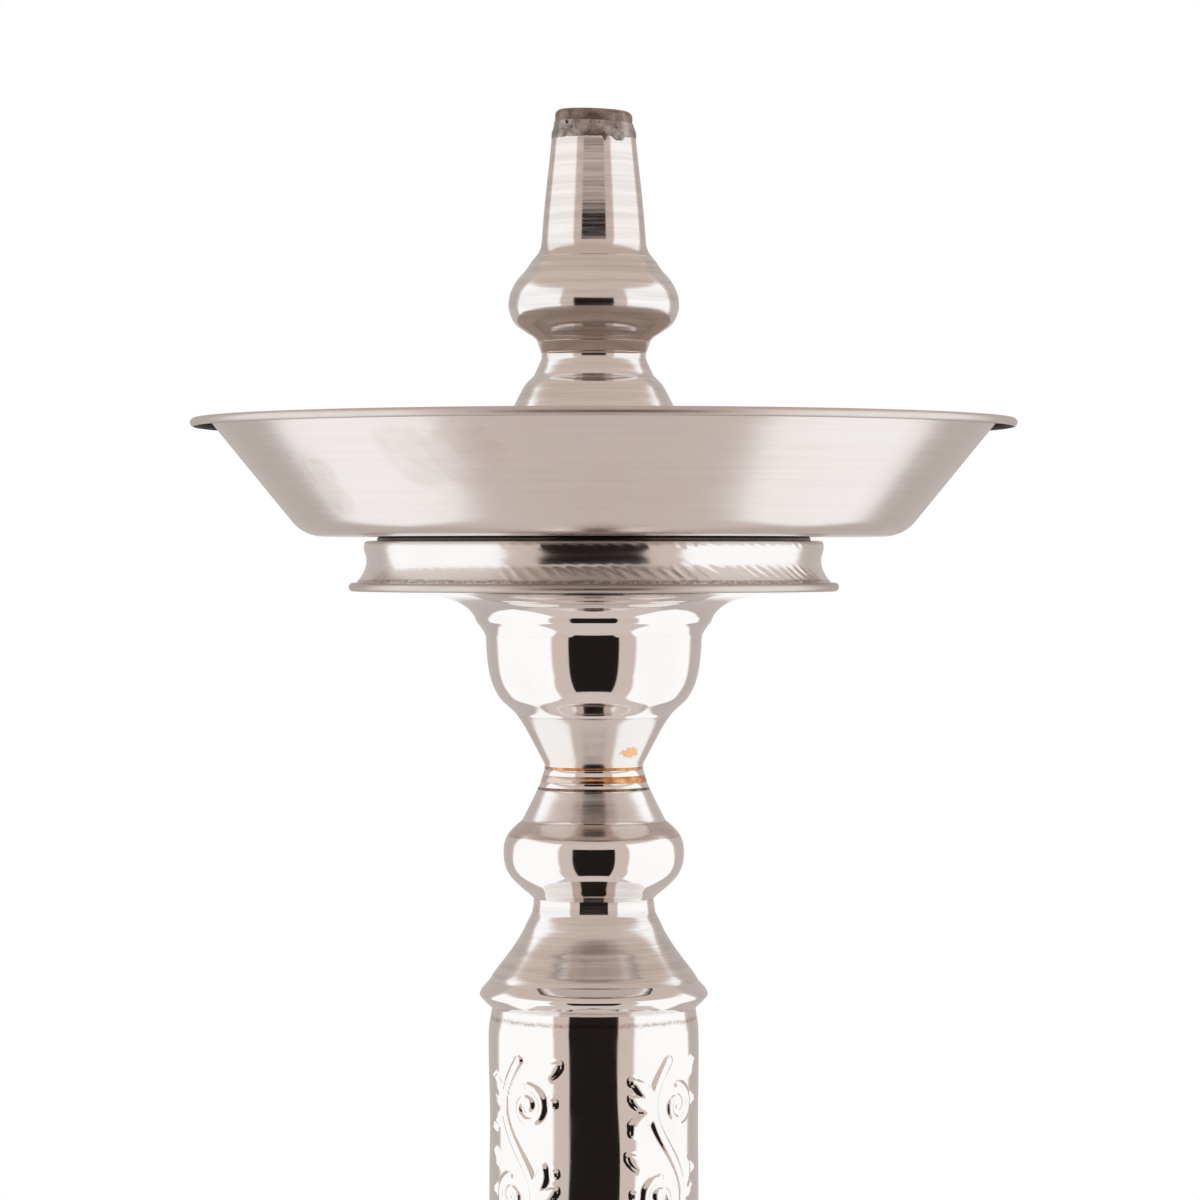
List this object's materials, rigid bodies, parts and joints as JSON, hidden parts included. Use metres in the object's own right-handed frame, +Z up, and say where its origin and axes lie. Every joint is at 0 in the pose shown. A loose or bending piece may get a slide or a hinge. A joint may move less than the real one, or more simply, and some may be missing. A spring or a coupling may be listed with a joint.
{
  "type": "hookah stem with ash tray",
  "caption": "Turned metal water-pipe stem: loose dished ash tray on a round seat, tapered bowl port, embossed sleeve, angled hose port and a rubber bung over a downstem.",
  "frame": {"origin": "on the stem's axis, at the plane where the bung's flange rests on the vase's mouth", "axes": "+Z up the stem to the bowl, -Y the front, +X the side of the hose port"},
  "size_m": [0.209, 0.209, 0.742],
  "materials": {
    "nickel_polished": "polished nickel plate on spun brass, warm white",
    "nickel_satin": "nickel plate left satin from turning",
    "nickel_brushed": "nickel plate with a belt-polished, half-matt face",
    "tray_steel": "fine lathe-brushed sheet",
    "braze": "bare copper-coloured brazing metal, dull",
    "solder": "dull grey soft solder, lumpy",
    "copper_pipe": "tarnished copper pipe",
    "rubber": "matt black rubber"
  },
  "bodies": {
    "stem": {"air_pipe": "copper_pipe", "port_solder": "solder", "bowl_port": "nickel_polished", "upper_bulb": "nickel_polished", "neck_band": "nickel_satin", "neck_skirt": "nickel_polished", "tray_seat": "nickel_polished", "seat_plate": "nickel_satin", "seat_flange": "nickel_polished", "cup": "nickel_polished", "cup_cone": "nickel_satin", "braze_upper": "braze", "waist_ring_upper": "nickel_polished", "braze_middle": "braze", "waist_ring_lower": "nickel_polished", "braze_lower": "braze", "knop_cone": "nickel_satin", "upper_knop": "nickel_polished", "upper_skirt": "nickel_brushed", "upper_edge_ring": "nickel_polished", "sleeve": "nickel_polished", "lower_edge_ring": "nickel_polished", "lower_skirt": "nickel_brushed", "lower_knop": "nickel_polished", "hub_seal": "braze", "hub_upper": "nickel_polished", "hub_belt": "nickel_polished", "hub_lower": "nickel_polished", "hose_port": "nickel_polished", "hose_port_lip": "nickel_polished", "base_bell": "nickel_polished", "base_plate": "nickel_satin", "vase_plug": "nickel_satin", "vase_bung": "rubber", "downstem": "nickel_satin"},
    "tray": {"ash_tray": "tray_steel"}
  },
  "joints": [
    {"name": "tray_lift", "type": "slide", "parent": "stem", "child": "tray", "axis": [0, 0, 1], "range_m": [0, 0.125]}
  ]
}
